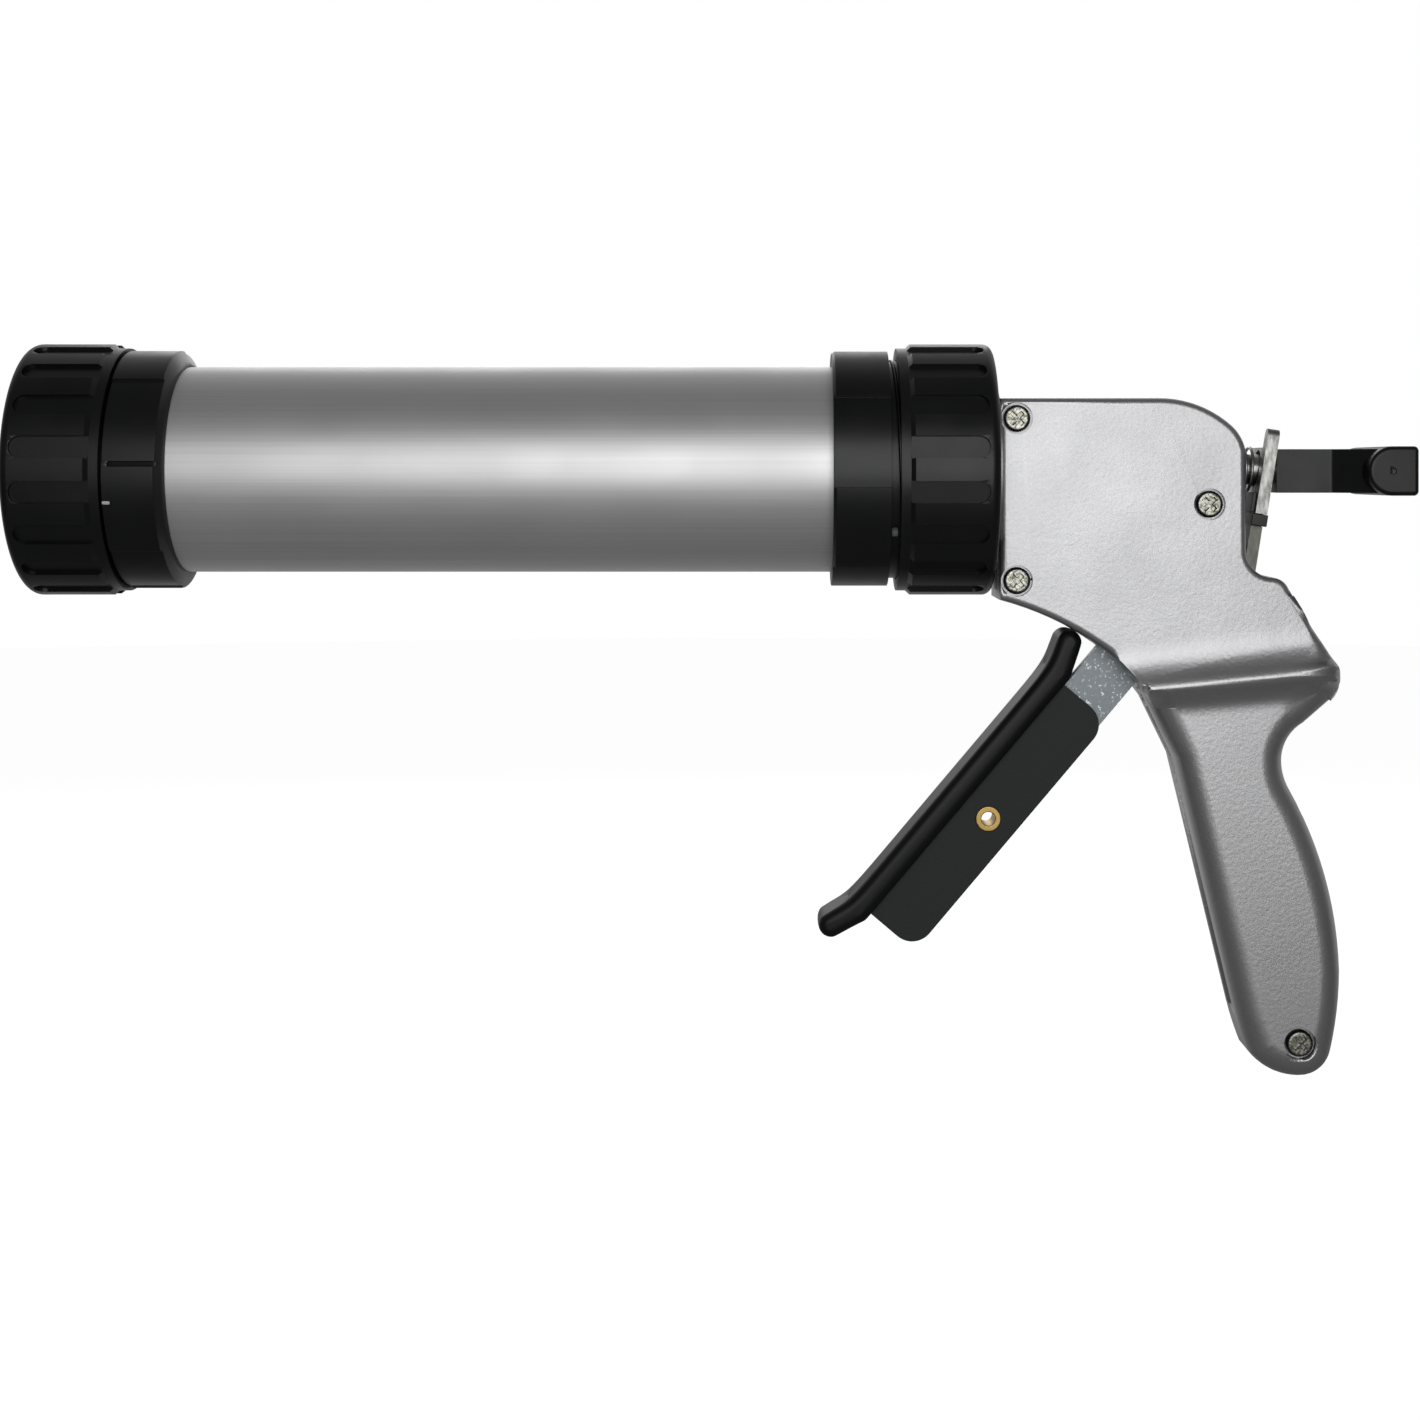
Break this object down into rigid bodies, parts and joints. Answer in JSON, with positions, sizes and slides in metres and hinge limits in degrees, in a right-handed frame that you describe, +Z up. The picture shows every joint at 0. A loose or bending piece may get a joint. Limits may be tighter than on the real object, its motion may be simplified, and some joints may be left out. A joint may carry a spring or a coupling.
{
  "type": "caulking gun",
  "caption": "Hand caulking gun: round metal barrel held by fluted ring nuts, cast pistol housing, squeeze trigger and a push rod with a release plate and a crossbar.",
  "frame": {"origin": "centre of the nozzle opening on the front face of the front ring nut", "axes": "+X along the barrel axis from the nozzle to the rod handle, +Z up away from the handle, -Y towards the side with the screw heads"},
  "size_m": [0.3597, 0.066, 0.1911],
  "materials": {
    "barrel_aluminium": "drawn, with fine lines along the barrel",
    "black_plastic": "moulded, satin",
    "seal_rubber": "plain",
    "inner_cast": "as cast",
    "bush_plastic": "plain",
    "housing_paint": "silver-grey powder coat, fine orange peel",
    "screw_steel": "zinc plated, slightly yellow",
    "inner_steel": "plain",
    "zinc_steel": "zinc plated, spangled",
    "grip_plastic": "moulded, fine texture on the web",
    "eyelet_brass": "plain",
    "spring_steel": "drawn wire",
    "plate_steel": "sheared edge, streaked",
    "rod_steel": "ground",
    "piston_plastic": "plain"
  },
  "bodies": {
    "housing": {"housing_left": "housing_paint", "housing_right": "housing_paint", "housing_screws": "screw_steel", "barrel_flange": "inner_cast", "rod_bush": "bush_plastic", "trigger_pivot_sleeve": "inner_steel", "drive_spring": "spring_steel", "release_spring": "spring_steel"},
    "barrel": {"barrel_tube": "barrel_aluminium", "front_collar": "black_plastic", "rear_collar": "black_plastic"},
    "front_carrier": {"front_seal_ring": "seal_rubber"},
    "front_nut": {"front_ring_nut": "black_plastic"},
    "rear_nut": {"rear_ring_nut": "black_plastic"},
    "trigger": {"trigger_lever": "zinc_steel", "trigger_grip": "grip_plastic", "grip_eyelet": "eyelet_brass"},
    "drive_plate": {"drive_plate": "inner_steel"},
    "rod": {"push_rod": "rod_steel", "rod_handle": "black_plastic", "piston": "piston_plastic", "piston_washer": "inner_steel", "piston_screw": "screw_steel"},
    "release": {"release_plate": "plate_steel", "plate_grommet": "black_plastic"}
  },
  "joints": [
    {"name": "trigger_pull", "type": "hinge", "parent": "housing", "child": "trigger", "pos_m": [0.3071, 0, -0.009], "axis": [0, -1, 0], "range_deg": [0, 13], "stiffness_Nm_per_rad": 0.8, "springref_deg": -17.19},
    {"name": "drive_plate_slide", "type": "slide", "parent": "housing", "child": "drive_plate", "axis": [-1, 0, 0], "range_m": [0, 0.0021], "deforming": ["drive_spring"]},
    {"name": "rod_slide", "type": "slide", "parent": "housing", "child": "rod", "axis": [1, 0, 0], "range_m": [0, 0.22]},
    {"name": "release_tilt", "type": "hinge", "parent": "housing", "child": "release", "pos_m": [0.31817, 0, -0.03111], "axis": [0, -1, 0], "range_deg": [0, 4], "stiffness_Nm_per_rad": 0.5, "springref_deg": -5.73, "deforming": ["release_spring"]},
    {"name": "rear_nut_turn", "type": "hinge", "parent": "housing", "child": "rear_nut", "pos_m": [0.239, 0, 0], "axis": [1, 0, 0], "range_deg": [0, 1035]},
    {"name": "barrel_slide", "type": "slide", "parent": "housing", "child": "barrel", "axis": [-1, 0, 0], "range_m": [0, 0.01725]},
    {"name": "front_nut_slide", "type": "slide", "parent": "barrel", "child": "front_carrier", "axis": [-1, 0, 0], "range_m": [0, 0.01965]},
    {"name": "front_nut_turn", "type": "hinge", "parent": "front_carrier", "child": "front_nut", "pos_m": [0.0125, 0, 0], "axis": [-1, 0, 0], "range_deg": [0, 1180]}
  ],
  "couplings": [
    {"joint": "drive_plate_slide", "follows": "trigger_pull", "m_per_rad": 0.009},
    {"joint": "rear_nut_turn", "follows": "barrel_slide", "rad_per_m": 1047.2},
    {"joint": "front_nut_turn", "follows": "front_nut_slide", "rad_per_m": 1047.2}
  ]
}
